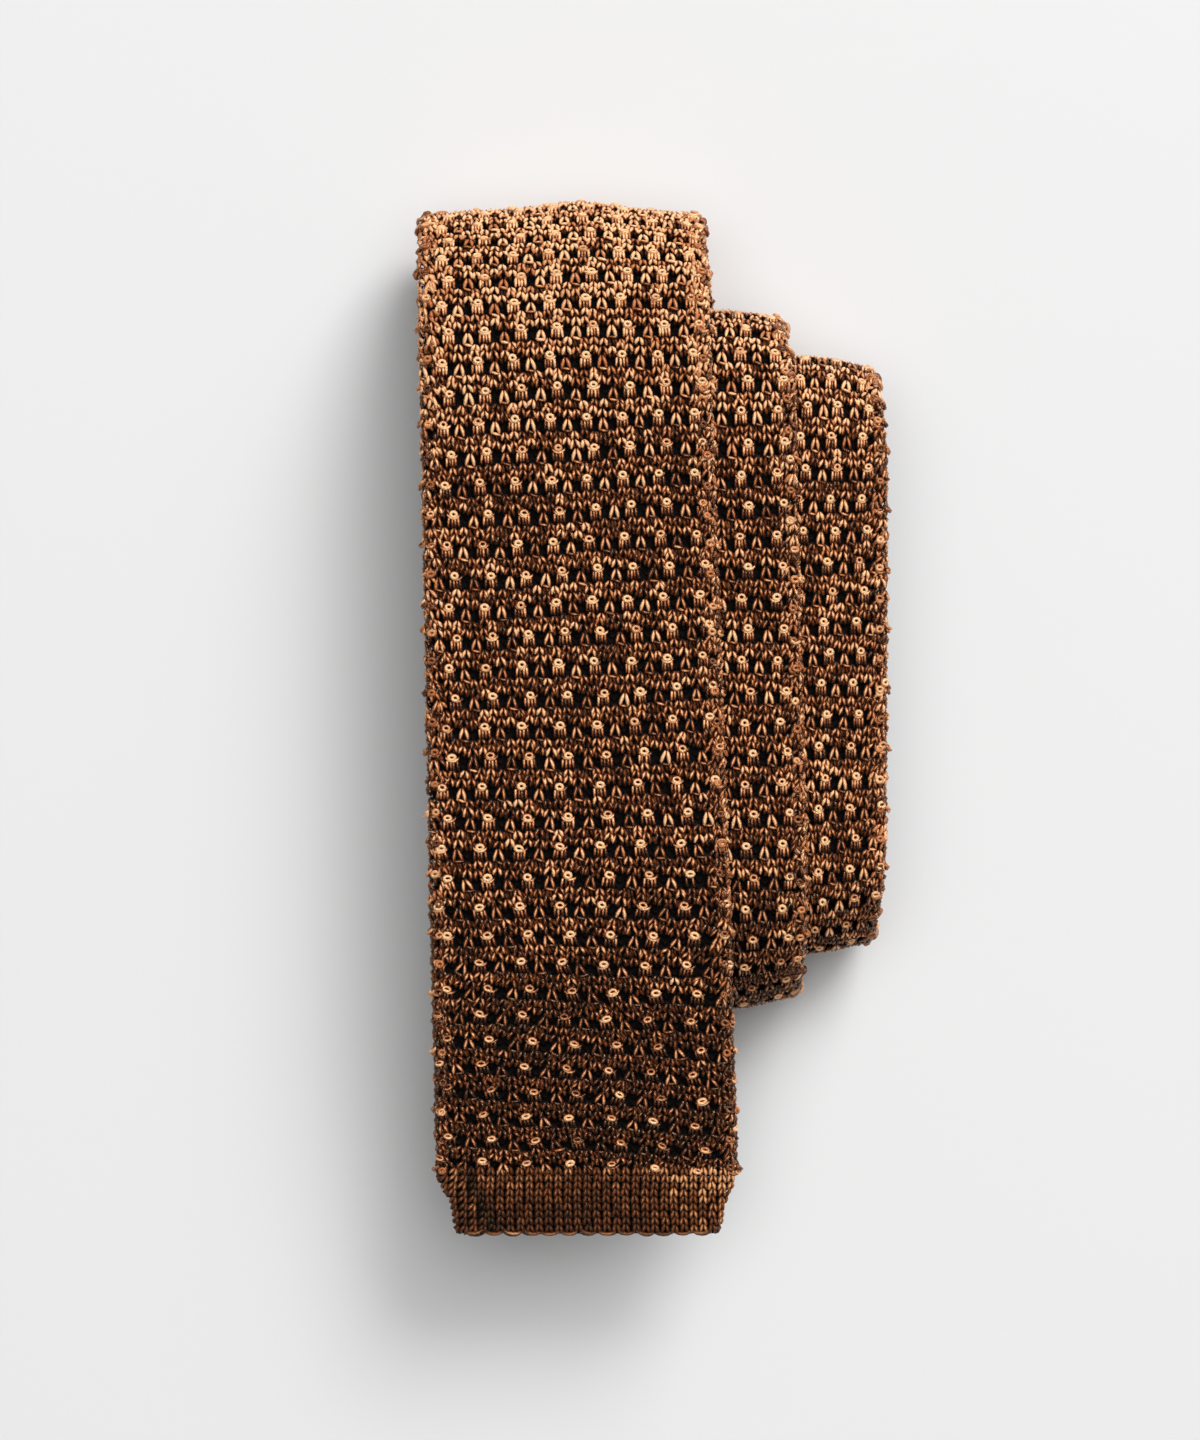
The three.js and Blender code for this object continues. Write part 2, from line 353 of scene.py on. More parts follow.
def strands(path, sites):
    """Tubes along copies of one path. sites: arrays along, side, lift, tilt, wide, long, mirror, tone."""
    u = path[:, 0] * (sites["mirror"] * sites["wide"])[:, None]
    v = path[:, 1] * sites["long"][:, None]
    tilt = sites["tilt"][:, None]
    side = sites["side"][:, None] + u * np.cos(tilt) - v * np.sin(tilt)
    along = sites["along"][:, None] + u * np.sin(tilt) + v * np.cos(tilt)
    height = KNIT_LEVEL + sites["lift"][:, None] + path[:, 2]
    centre = on_cloth(along, side, height)
    outward = on_cloth(along, side, height + OUTWARD_STEP) - centre
    outward /= np.linalg.norm(outward, axis=-1, keepdims=True)
    closed = path is RING
    points = tube_points(centre, outward, path[:, 3], closed)
    count, length = points.shape[:2]
    quads, caps = tube_faces(count, length, STRAND_SIDES, closed)
    run = np.concatenate([[0], np.cumsum(np.linalg.norm(np.diff(path[:, :3], axis=0), axis=-1))])
    lay = np.stack(np.meshgrid(np.arange(STRAND_SIDES) / STRAND_SIDES, run, indexing="xy"), axis=-1)
    lay = np.broadcast_to(lay, (count, length, STRAND_SIDES, 2)).copy()
    lay[..., 1] += rng.random((count, 1, 1)) * PLY_SHIFT
    tone_and_painted_light = np.broadcast_to(sites["tone_and_painted_light"][:, None, None], (count, length, STRAND_SIDES))
    # Height of each point for the painted shade and highlight: lower yarn is painted darker, and each tube's
    # top side lighter.
    own_painted_light_rise = path[:, 2][:, None] + path[:, 3][:, None] * np.sin(STRAND_TURNS)
    rise = sites["lift"][:, None, None] + own_painted_light_rise[None]
    return points.reshape(-1, 3), quads, caps, lay.reshape(-1, 2), tone_and_painted_light.ravel(), rise.ravel()


def mesh_piece(name, parts, material):
    """One joined mesh from parts of points, quads, caps, lay, tone and rise; rise is the height from which the
    yarn's shade and highlight are painted.
    """
    points, quads, caps, lays, tones_and_painted_light, painted_light_rises = zip(*parts)
    starts = np.cumsum([0] + [len(own) for own in points])
    faces = [own + start for own, start in zip(quads, starts)]
    faces += [own + start for own, start in zip(caps, starts)]
    loops = np.concatenate([own.ravel() for own in faces])
    sizes = np.concatenate([np.full(len(own), own.shape[1]) for own in faces])
    loop_starts = np.concatenate([[0], np.cumsum(sizes)[:-1]])
    places = np.concatenate(points) / 1000
    mesh = bpy.data.meshes.new(name)
    mesh.vertices.add(len(places))
    mesh.vertices.foreach_set("co", places.astype(np.float32).ravel())
    mesh.loops.add(len(loops))
    mesh.loops.foreach_set("vertex_index", loops.astype(np.int32))
    mesh.polygons.add(len(sizes))
    mesh.polygons.foreach_set("loop_start", loop_starts.astype(np.int32))
    mesh.polygons.foreach_set("use_smooth", np.ones(len(sizes), bool))
    lay = np.concatenate(lays)
    mesh.uv_layers.new(name="lay").data.foreach_set("uv", lay[loops].astype(np.float32).ravel())
    for attribute, own in (("tone_and_painted_light", tones_and_painted_light), ("rise", painted_light_rises)):
        values = np.concatenate(own).astype(np.float32)
        mesh.attributes.new(attribute, "FLOAT", "POINT").data.foreach_set("value", values)
    mesh.update(calc_edges=True)
    mesh.validate()
    piece = bpy.data.objects.new(name, mesh)
    bpy.context.scene.collection.objects.link(piece)
    mesh.materials.append(material)
    return piece


def node(tree, kind, **settings):
    made = tree.nodes.new(kind)
    for name, value in settings.items():
        setattr(made, name, value)
    return made


SHEEN_ROUGHNESS = 0.4
SHEEN_TINT = (1.0, 0.86, 0.68, 1)


def material_tree(name, roughness, sheen):
    """A new material's tree with its shader, whose constant values are set on the shader itself."""
    material = bpy.data.materials.new(name)
    material.use_nodes = True
    shader = material.node_tree.nodes["Principled BSDF"]
    shader.inputs["Roughness"].default_value = roughness
    shader.inputs["Sheen Weight"].default_value = sheen
    shader.inputs["Sheen Roughness"].default_value = SHEEN_ROUGHNESS
    shader.inputs["Sheen Tint"].default_value = SHEEN_TINT
    return material, material.node_tree, shader


def math_node(tree, operation, a, b=None):
    made = node(tree, "ShaderNodeMath", operation=operation)
    for socket, value in zip(made.inputs, (a, b)):
        if value is None:
            continue
        if isinstance(value, (int, float)):
            socket.default_value = value
        else:
            tree.links.new(value, socket)
    return made.outputs[0]


def attribute_of(tree, name):
    return node(tree, "ShaderNodeAttribute", attribute_name=name).outputs["Fac"]


def noise_of(tree, scale):
    """Noise in the object's own space."""
    noise = node(tree, "ShaderNodeTexNoise")
    noise.inputs["Scale"].default_value = scale
    tree.links.new(node(tree, "ShaderNodeTexCoord").outputs["Object"], noise.inputs["Vector"])
    return noise.outputs["Fac"]


def lay_of(tree):
    """Place round and along a strand, or across and along the cloth, from the mesh's UVs."""
    lay = node(tree, "ShaderNodeSeparateXYZ")
    tree.links.new(node(tree, "ShaderNodeUVMap", uv_map="lay").outputs["UV"], lay.inputs[0])
    return lay.outputs["X"], lay.outputs["Y"]


def set_colour(tree, shader, factor, stops):
    """The shader's colour from a ramp with these stops."""
    made = node(tree, "ShaderNodeValToRGB")
    elements = made.color_ramp.elements
    while len(elements) < len(stops):
        elements.new(0.5)
    for element, (position, colour) in zip(elements, stops):
        element.position = position
        element.color = (*colour, 1)
    tree.links.new(factor, made.inputs["Fac"])
    tree.links.new(made.outputs["Color"], shader.inputs["Base Color"])


def set_bump(tree, shader, height, strength, depth):
    bump = node(tree, "ShaderNodeBump")
    bump.inputs["Strength"].default_value = strength
    bump.inputs["Distance"].default_value = depth
    tree.links.new(height, bump.inputs["Height"])
    tree.links.new(bump.outputs["Normal"], shader.inputs["Normal"])


YARN_IOR = 1.6
YARN_ROUGHNESS = 0.25
YARN_SHEEN = 0.05
YARN_GLOSS = 0.75
YARN_GLOSS_TINT = (1.0, 0.74, 0.46, 1)
# Heights over the knit's level at which the yarn's painted shade is darkest and its painted highlight
# lightest, and their places on the colour ramp.
YARN_LOW = -0.45
YARN_HIGH = 0.85
RAMP_LOW = 0.06
RAMP_HIGH = 0.70
# How much a strand's own tone, with the painted shade and light it carries, and the noise count beside its
# height.
TONE_SHARE = 0.18
NOISE_SHARE = 0.10
YARN_NOISE_SCALE = 900
# The wave of the plies: radians for one turn round a strand and for one millimetre along it, and its bump.
PLY_ROUND = 12.566
PLY_ALONG = 9.5
PLY_STRENGTH = 0.5
PLY_DEPTH = 0.00006


def yarn_material(name, stops, roughness=YARN_ROUGHNESS, gloss=YARN_GLOSS):
    """Twisted silk yarn, painted darker as shade where it dips into the cloth and lighter as a highlight on
    top, with fine plies across it.
    """
    material, tree, shader = material_tree(name, roughness, YARN_SHEEN)
    shader.inputs["IOR"].default_value = YARN_IOR
    shader.inputs["Specular IOR Level"].default_value = gloss
    shader.inputs["Specular Tint"].default_value = YARN_GLOSS_TINT
    height = node(tree, "ShaderNodeMapRange")
    height.inputs["From Min"].default_value = YARN_LOW
    height.inputs["From Max"].default_value = YARN_HIGH
    height.inputs["To Min"].default_value = RAMP_LOW
    height.inputs["To Max"].default_value = RAMP_HIGH
    tree.links.new(attribute_of(tree, "rise"), height.inputs["Value"])
    tone_and_painted_light = math_node(tree, "MULTIPLY", attribute_of(tree, "tone_and_painted_light"), TONE_SHARE)
    noise = math_node(tree, "MULTIPLY", noise_of(tree, YARN_NOISE_SCALE), NOISE_SHARE)
    total = math_node(tree, "ADD", math_node(tree, "ADD", height.outputs["Result"], tone_and_painted_light), noise)
    set_colour(tree, shader, total, stops)
    around, along = lay_of(tree)
    around = math_node(tree, "MULTIPLY", around, PLY_ROUND)
    along = math_node(tree, "MULTIPLY", along, PLY_ALONG)
    plies = math_node(tree, "SINE", math_node(tree, "ADD", around, along))
    set_bump(tree, shader, plies, PLY_STRENGTH, PLY_DEPTH)
    return material


CLOTH_ROUGHNESS = 0.8
CLOTH_GLOSS = 0.12
# A stitch of the cloth in low relief: its width and length, and how steeply its two legs slope.
LOW_WALE = 1.83
LOW_COURSE = 1.62
LEG_SLOPE = 2.4
# How much the relief, painted lighter where raised and darker in its hollows, and the noise count in its
# colour, and how much painted shade darkens it under yarn.
RELIEF_SHARE = 0.35
GRAIN_SHARE = 0.5
COVERED_SHADE = 0.7
CLOTH_NOISE_SCALE = 700
CLOTH_STRENGTH = 0.9
CLOTH_DEPTH = 0.0005


def cloth_material(name, stops):
    """Knitted cloth in low relief, for the plies that no yarn is laid on: stitches from sine waves, painted
    darker in their hollows as shade, and darker still as shade under yarn.
    """
    material, tree, shader = material_tree(name, CLOTH_ROUGHNESS, 0.0)
    shader.inputs["Specular IOR Level"].default_value = CLOTH_GLOSS
    across, along = lay_of(tree)
    column = math_node(tree, "SINE", math_node(tree, "MULTIPLY", across, math.pi / LOW_WALE))
    column = math_node(tree, "ABSOLUTE", column)
    row = math_node(tree, "MULTIPLY", along, 2 * math.pi / LOW_COURSE)
    slope = math_node(tree, "MULTIPLY", column, LEG_SLOPE)
    stitch = math_node(tree, "SINE", math_node(tree, "ADD", row, slope))
    raised = math_node(tree, "MULTIPLY", math_node(tree, "ADD", stitch, 1.0), column)
    raised = math_node(tree, "MULTIPLY", raised, RELIEF_SHARE)
    grain = math_node(tree, "MULTIPLY", noise_of(tree, CLOTH_NOISE_SCALE), GRAIN_SHARE)
    total = math_node(tree, "ADD", raised, grain)
    # Painted shade where yarn lies on the cloth.
    covered = math_node(tree, "MULTIPLY", attribute_of(tree, "tone_and_painted_light"), COVERED_SHADE)
    set_colour(tree, shader, math_node(tree, "SUBTRACT", total, covered), stops)
    set_bump(tree, shader, total, CLOTH_STRENGTH, CLOTH_DEPTH)
    return material


# Colour ramps: place on the ramp, then the colour as linear red, green and blue.
# The yarn's ramp runs from near black, painted shade in the hollows, to pale gold, a painted highlight on top.
YARN_STOPS = (
    (0.15, (0.004, 0.0005, 0.0002)),
    (0.52, (0.022, 0.0036, 0.001)),
    (0.68, (0.095, 0.017, 0.0042)),
    (0.77, (0.55, 0.175, 0.055)),
    (0.855, (1.0, 0.60, 0.31)),
)
# A darker copy of the yarn's ramp: painted shade for the strands in the hollows.
SHADE_STOPS = (
    (0.08, (0.005, 0.0009, 0.0003)),
    (0.45, (0.04, 0.009, 0.0025)),
    (0.78, (0.26, 0.075, 0.022)),
)
# The end band's ramp, darker than the yarn's: painted shade.
BAND_STOPS = (
    (0.2, (0.015, 0.0032, 0.001)),
    (0.48, (0.06, 0.014, 0.004)),
    (0.66, (0.19, 0.052, 0.014)),
    (0.82, (0.85, 0.42, 0.18)),
)
# The cloth's ramp: its own brown, run down to near black as painted shade for the ply seen through the open
# knit.
CLOTH_STOPS = (
    (0.1, (0.0012, 0.0004, 0.0002)),
    (0.3, (0.012, 0.0032, 0.001)),
    (0.6, (0.10, 0.032, 0.010)),
    (1.0, (0.32, 0.13, 0.045)),
)
yarn = yarn_material("bright_yarn", YARN_STOPS)
# A copy of the yarn with painted shade, for the strands in the hollows.
shaded_yarn = yarn_material("painted_shade_yarn", SHADE_STOPS, roughness=0.5, gloss=0.15)
# A darker copy of the yarn for the end band, with painted shade.
band_yarn = yarn_material("band_yarn", BAND_STOPS, roughness=0.42, gloss=0.35)
cloth = cloth_material("knit_ply", CLOTH_STOPS)

# The open knit's repeat: a tall stitch, a ring over a bundle of floats, and two courses of plain stitches.
CELL_WIDTH = 7.33
ROW_LENGTH = 6.45
ROW_SHIFT = 1.95
# Place of the ring across the repeat in odd and even rows, and along it those of the ring and the floats.
RING_ACROSS = (3.45, 3.9)
RING_ALONG = 3.0
FLOATS_ALONG = 2.2
FLOATS = (-0.93, -0.31, 0.31, 0.93)
# u, v, tilt, wide and long of the plain stitches of one repeat, from the tall stitch's foot.
PLAIN = (
    (0.05, 2.95, 0.0, 1.30, 1.15),
    (1.95, 3.20, 0.12, 1.0, 0.95),
    (3.45, 4.15, 0.0, 1.05, 0.95),
    (5.30, 3.65, -0.10, 1.0, 0.98),
    (1.75, -1.45, 0.18, 1.0, 1.0),
    (3.60, -1.25, 0.0, 1.0, 0.95),
    (5.45, -1.40, -0.15, 1.0, 1.0),
)
# Place of the stitch that lies deeper beside each plain one, off it across and along.
DEEP_ACROSS = 0.9
DEEP_ALONG = -0.55
# How far rows go past the stretch that is asked for, and how many columns lie on each side of the middle one.
ROW_MARGIN = 12
COLUMNS_BESIDE = 6


def rows_from(first, step, start, end, lengths):
    """Distances along of rows, from the first one upwards with a step of 1 or downwards with -1."""
    rows, row = [], first
    while start - ROW_MARGIN < row < end + ROW_MARGIN:
        rows.append(row)
        row += step * float(np.interp(row, *lengths))
    return rows


def cells(start, end, first, phase, widths, lengths):
    """Repeats between two distances along, as arrays along, side, odd, wide and long.

    first is the foot of an even row."""
    rows = [(along, i % 2) for i, along in enumerate(rows_from(first, 1, start, end, lengths))]
    lower = rows_from(first, -1, start, end, lengths)[1:]
    rows += [(along, (i + 1) % 2) for i, along in enumerate(lower)]
    found = []
    for along, odd in rows:
        width = float(np.interp(along, *widths))
        length = float(np.interp(along, *lengths))
        for column in range(-COLUMNS_BESIDE, COLUMNS_BESIDE + 1):
            side = (phase + column) * width + odd * ROW_SHIFT * width / CELL_WIDTH
            found.append((along, side, odd, width / CELL_WIDTH, length / ROW_LENGTH))
    return [np.array(values, float) for values in zip(*found)]


def plain_repeat(along, side):
    """Repeats of full size at given places."""
    return [along, side, np.zeros_like(along), np.ones_like(along), np.ones_like(along)]


# How uneven stitches are, as standard deviations: place, lift, tilt in radians, and size as a share.
PLACE_NOISE = 0.09
LIFT_NOISE = 0.05
TILT_NOISE = 0.07
SIZE_NOISE = 0.05


def scatter(repeat, u, v, tilt=0.0, wide=1.0, long=1.0, lift=0.0, tone_and_painted_light=0.0, jitter=1.0):
    """Sites of one strand in each repeat, slightly uneven. A pair as u is for odd and even rows."""
    along, side, odd, width, length = repeat
    count = len(along)
    u = np.where(odd > 0, u[0], u[1]) if isinstance(u, tuple) else u

    def noise(size):
        return rng.normal(0, size * jitter, count)

    return {
        "side": side + u * width + noise(PLACE_NOISE),
        "along": along + v * length + noise(PLACE_NOISE),
        "lift": lift + noise(LIFT_NOISE),
        "tilt": tilt + noise(TILT_NOISE),
        "wide": wide * width * (1 + noise(SIZE_NOISE)),
        "long": long * length * (1 + noise(SIZE_NOISE)),
        "tone_and_painted_light": tone_and_painted_light + rng.random(count),
        "mirror": np.ones(count),
    }


# Where the knit's relief rises towards the first fold and falls towards the low ends, and with it the painted
# shade and highlight by height, which paint the yarn lighter towards the fold and darker towards the low ends:
# the y at which it begins, the length in which it is complete, and its size.
RISE_FROM = 40
RISE_OVER = 52
RISE_BY = 0.24
FALL_FROM = -25
FALL_OVER = 50
FALL_BY = 0.2


def relief(along):
    """How much more the knit stands out than at a layer's middle, and so is painted lighter; less than 0 where
    it lies flatter and is painted darker.
    """
    y = at("y", along) + SHIFT_Y
    return RISE_BY * smooth((y - RISE_FROM) / RISE_OVER) - FALL_BY * smooth((FALL_FROM - y) / FALL_OVER)


# The lean of stitches low on the blade: its size, where along the cloth it ends and in what length it fades.
LEAN = 0.3
LEAN_END = 110
LEAN_FADE = 60
# The rows' slant at the end band and further up, where it turns, in what length, and how far out it goes.
LOW_SLANT = -0.06
HIGH_SLANT = 0.042
SLANT_FROM = 25
SLANT_OVER = 60
SLANT_REACH = 32
# Slow waves of the cloth. Columns: size, then the millimetres along and across for one radian.
LEAN_WAVE = (1, 7, 9)
ROW_WAVES = ((0.35, 23, 17), (0.2, 9, -6))
COLUMN_WAVE = (0.3, 14, 20)


def wave(along, side, size, on_along, on_side):
    return size * np.sin(along / on_along + side / on_side)


def bent(sites, standing):
    """The sites with the lower stitches' lean, the rows' slant and the cloth's slow waves.

    Only strands that stand out also take the relief."""
    along, side = sites["along"], sites["side"]
    if standing:
        sites["lift"] = sites["lift"] + relief(along)
    lean = LEAN * smooth((LEAN_END - along) / LEAN_FADE)
    sites["tilt"] = sites["tilt"] + lean * wave(along, side, *LEAN_WAVE)
    slant = mix(LOW_SLANT, HIGH_SLANT, smooth((along - SLANT_FROM) / SLANT_OVER))
    waves = wave(along, side, *ROW_WAVES[0]) + wave(along, side, *ROW_WAVES[1])
    sites["along"] = along + slant * np.clip(side, -SLANT_REACH, SLANT_REACH) + waves
    sites["side"] = side + wave(along, side, *COLUMN_WAVE)
    return sites


def kept(sites, test):
    """The sites that pass the test and whose yarn stays above the floor."""
    lowest = on_cloth(sites["along"], sites["side"], YARN_REACH)[:, 2]
    keep = test(sites["along"], sites["side"]) & (lowest > 0)
    return {name: values[keep] for name, values in sites.items()}


def mirrored(sites):
    return {**sites, "mirror": -sites["mirror"]}


def open_knit(repeat, test):
    """Strands of the open knit, those that stand out and those in the hollows."""
    # deep holds the strands in the hollows, which take the copy of the yarn with painted shade.
    bright, deep = [], []

    def add(target, path, sites, both=False):
        sites = kept(bent(sites, target is bright), test)
        if not len(sites["along"]):
            return
        target.append(strands(path, sites))
        if both:
            target.append(strands(path, mirrored(sites)))

    add(bright, TALL_LEG, scatter(repeat, 0.0, 0.0, wide=1.08), both=True)
    add(bright, FOOT, scatter(repeat, 0.0, 0.0))
    for u, v, tilt, wide, long in PLAIN:
        add(bright, LEG, scatter(repeat, u, v, tilt, wide, long, jitter=1.5), both=True)
        # The deeper stitch beside each plain one is also given a darker tone: painted shade.
        below = scatter(repeat, u + DEEP_ACROSS, v + DEEP_ALONG, tilt, 0.8, 0.9, lift=-0.35, tone_and_painted_light=-0.2)
        add(deep, LEG, below, both=True)
    # Painted highlight: the rings are a little lighter.
    add(bright, RING, scatter(repeat, RING_ACROSS, RING_ALONG, tone_and_painted_light=0.3))
    add(bright, CUP, scatter(repeat, RING_ACROSS, FLOATS_ALONG))
    for offset in FLOATS:
        centre = tuple(u + offset for u in RING_ACROSS)
        # Painted shade: the floats are a little darker.
        barrel = scatter(repeat, centre, FLOATS_ALONG, tilt=0.06 * offset, tone_and_painted_light=-0.05, jitter=0.6)
        add(bright, BARREL_STRAND, barrel)
        add(deep, DOME_STRAND, scatter(repeat, offset, -0.15, tilt=0.12 * offset, lift=-0.1, jitter=0.8))
    return bright, deep


# Stitches along a side edge: distance between them, their place past the cloth's flat part and their lift.
EDGE_STEP = 3.1
EDGE_PLACE = 1.0
EDGE_LIFT = 0.15
EDGE_TILT = -0.3
# Painted shade: how much darker the edge's stitches are.
EDGE_SHADE = -0.5
EDGE_JITTER = 2.2
# Place and lift of the knots that stand out from the edge.
PICOT_PLACE = 1.75
PICOT_LIFT = 0.7
# Columns: place along, place past the flat part, lift, steps from one to the next, path, wide and long.
EDGE_STRANDS = (
    (0.2, EDGE_PLACE - 1.0, EDGE_LIFT, 2, CUP, 0.75, 1.0),
    (0.9, EDGE_PLACE - 1.0, EDGE_LIFT + 0.1, 2, RING, 0.85, 0.9),
    (2.0, EDGE_PLACE - 1.4, EDGE_LIFT, 1, LEG, 1.15, 1.15),
    (0.6, EDGE_PLACE - 2.6, EDGE_LIFT - 0.1, 1, LEG, 1.15, 1.1),
    (1.1, EDGE_PLACE + 0.5, EDGE_LIFT, 1, LEG, 1.1, 1.1),
    (2.6, EDGE_PLACE + 0.7, EDGE_LIFT - 0.1, 1, LEG, 1.1, 1.1),
    (0.8, PICOT_PLACE, PICOT_LIFT, 4, CUP, 0.72, 0.85),
    (0.8, PICOT_PLACE + 0.1, PICOT_LIFT - 0.3, 4, RING, 0.8, 0.8),
    (7.2, PICOT_PLACE, PICOT_LIFT - 0.35, 4, CUP, 0.6, 0.8),
)


def on_the_tie(along, side):
    return along > 0


def edge_knit(start, end, sign):
    """Thick loops along one side edge, with a knot at every fourth step and a small loop between knots."""
    parts = []
    for offset, past, lift, every, path, wide, long in EDGE_STRANDS:
        along = np.arange(start + offset, end, EDGE_STEP * every)
        side = sign * (at("half", along) - EDGE_RADIUS + past)
        sites = scatter(plain_repeat(along, side), 0.0, 0.0, sign * EDGE_TILT, wide, long, lift,
                        tone_and_painted_light=EDGE_SHADE, jitter=EDGE_JITTER)
        sites["lift"] = sites["lift"] + relief(along)
        sites = kept(sites, on_the_tie)
        parts.append(strands(path, sites))
        if path is LEG:
            parts.append(strands(path, mirrored(sites)))
    return parts


def edge_of(layer, y):
    """x, off the blade's own middle line, of a layer's right edge at y of the cloth's own line."""
    own = LINE["layer"] == layer
    order = np.argsort(LINE["y"][own])
    edge = (LINE["across"] + LINE["half"])[own][order]
    return np.interp(y, LINE["y"][own][order], edge)


# How far past the cloth's flat part a stitch of the open knit may lie, and under the layer over a strip.
KNIT_MARGIN = 2.6
STRIP_OVERLAP = 3.0


def whole(start, end):
    """A test for sites between two distances along."""
    def test(along, side):
        reach = at("half", along) - EDGE_RADIUS + KNIT_MARGIN
        return (along > start) & (along < end) & (np.abs(side) < reach)
    return test


def strip(start, end, cover):
    """A test for the part of a layer that shows to the right of the one over it."""
    every = whole(start, end)

    def test(along, side):
        shown = at("across", along) + side > edge_of(cover, at("y", along)) - STRIP_OVERLAP
        return every(along, side) & shown
    return test


def rest_of(start, end, shown):
    """A test for the part of a layer between two distances along that another test leaves out."""
    every = whole(start, end)

    def test(along, side):
        return every(along, side) & ~shown(along, side)
    return test


def curve_range(number):
    """Distances along of a fold's two ends."""
    curve = fold_curve(number)
    near = [int(np.argmin(np.hypot(LINE["y"] - y, LINE["z"] - z))) for _, y, z in (curve[0], curve[-1])]
    return tuple(float(LINE["along"][i]) for i in near)


FOLD_SPANS = {number: curve_range(number) for number in range(1, len(FOLDS) + 1)}
# Width and length of the blade's repeat: distances along, then the sizes there.
BLADE_WIDTHS = (
    (40, 62, 88, 112, 150),
    (8.8, 8.5, 8.0, 7.55, 7.33),
)
BLADE_LENGTHS = (
    (15, 30, 50, 65, 90, 180, 198, 206, 222, 235),
    (4.6, 5.2, 5.6, 6.0, 6.3, 6.2, 5.1, 4.0, 4.0, 6.2),
)
# y of the foot of one of the blade's rows, and its first column's place as a share of the repeat.
BLADE_ROW = 58.5
BLADE_PHASE = 0.03
# Where the blade's yarn begins past the band, is cut into pieces, and ends past the first fold.
KNIT_START = END_BAND_LENGTH + 1.2
LOWER_END = 75.0
MIDDLE_END = 130.0
KNIT_END = FOLD_SPANS[1][1] + 2
CELLS_END = FOLD_SPANS[1][1] + 4

blade_cells = cells(0, CELLS_END, along_at(1, BLADE_ROW), BLADE_PHASE, BLADE_WIDTHS, BLADE_LENGTHS)
cuts = [KNIT_START, LOWER_END, MIDDLE_END, FOLD_SPANS[1][0], KNIT_END]
knit = []
for name, start, end in zip(("lower", "middle", "upper", "fold"), cuts, cuts[1:]):
    bright, deep = open_knit(blade_cells, whole(start, end))
    bright += edge_knit(start, end, 1) + edge_knit(start, end, -1)
    knit.append(mesh_piece(f"blade_knit_{name}", bright, yarn))
    # The strands in the hollows take the yarn with painted shade.
    knit.append(mesh_piece(f"blade_floats_{name}", deep, shaded_yarn))

# The two layers that show to the right of the blade. Columns: name, layer, the layer over it, y of a row's
# foot, the first column's place, width of the repeat, and whether yarn goes all over the lower fold.
STRIPS = (
    ("middle_strip", 3, 1, 33.9, -0.23, 7.4, True),
    ("right_strip", 5, 3, 29.1, 0.21, 6.55, False),
)


def constant(value):
    """One size all along, in the form of BLADE_WIDTHS."""
    return (0, 1), (value, value)


for name, layer, cover, row, phase, width, whole_fold in STRIPS:
    start, end = FOLD_SPANS[layer - 1][0], FOLD_SPANS[layer][1]
    repeat = cells(start, end, along_at(layer, row), phase, constant(width), constant(ROW_LENGTH))
    shown = strip(start, end, cover)
    bright, deep = open_knit(repeat, shown)
    if whole_fold:
        bright += open_knit(repeat, rest_of(start, FOLD_SPANS[layer - 1][1], shown))[0]
    bright += edge_knit(start, end, 1)
    knit.append(mesh_piece(f"{name}_knit", bright, yarn))
    # The strands in the hollows take the yarn with painted shade.
    knit.append(mesh_piece(f"{name}_floats", deep, shaded_yarn))

# The plain knit of the blade's end band: distances between its stitches, and how many columns to each side.
BAND_WALE = 2.0
BAND_COURSE = 1.5
BAND_COLUMNS = 20
BAND_START = 0.6
BAND_PAST = 1.0
# A crease across the band's left corner: its side at the free edge and at the open knit, its half width,
# how deep it is and how much painted shade darkens it, and the tilt of the stitches left of it.
CREASE = (-19.6, -24.4)
CREASE_HALF = 0.8
CREASE_DEPTH = 0.6
CREASE_SHADE = 1.3
CORNER_TILT = -0.45
# Painted shade: how much darker the band is at its free edge and at the open knit; painted light: how much
# lighter at its right.
TIP_SHADE = 1.2
ROOT_SHADE = 0.5
RIGHT_HIGHLIGHT = 0.8
RIGHT_FROM = 5
RIGHT_OVER = 20
# Looped stitches round the free edge: distance between them, their size, and each row's place and lift.
LOOP_PITCH = 3.9
LOOP_WIDTH = 2.6
LOOP_LONG = 0.8
LOOP_MARGIN = 0.6
LOOP_ROWS = ((0.35, -0.35), (0.15, -1.3))


def plain_knit(start, end, test):
    courses = np.arange(start, end, BAND_COURSE)
    columns = np.arange(-BAND_COLUMNS, BAND_COLUMNS + 1) * BAND_WALE
    along, side = (grid.ravel() for grid in np.meshgrid(courses, columns, indexing="ij"))
    sites = kept(scatter(plain_repeat(along, side), 0.0, 0.0, wide=0.92, lift=-0.1, jitter=0.8), test)
    past = sites["side"] - mix(CREASE[0], CREASE[1], sites["along"] / END_BAND_LENGTH)
    sunk_in = np.exp(-((past / CREASE_HALF) ** 2))
    sites["lift"] = sites["lift"] - CREASE_DEPTH * sunk_in
    sites["tilt"] = sites["tilt"] + np.where(past < 0, CORNER_TILT, 0.0)
    # Painted shade in the crease and towards the free edge, painted light towards the right.
    to_right = smooth((sites["side"] - RIGHT_FROM) / RIGHT_OVER)
    painted_shade = mix(TIP_SHADE, ROOT_SHADE, smooth(sites["along"] / END_BAND_LENGTH))
    sites["tone_and_painted_light"] = sites["tone_and_painted_light"] - painted_shade - CREASE_SHADE * sunk_in
    sites["tone_and_painted_light"] = sites["tone_and_painted_light"] + RIGHT_HIGHLIGHT * to_right
    return [strands(LEG, sites), strands(LEG, mirrored(sites))]


def inside_corners(along, side):
    return np.abs(side) < at("half", along) - LOOP_MARGIN


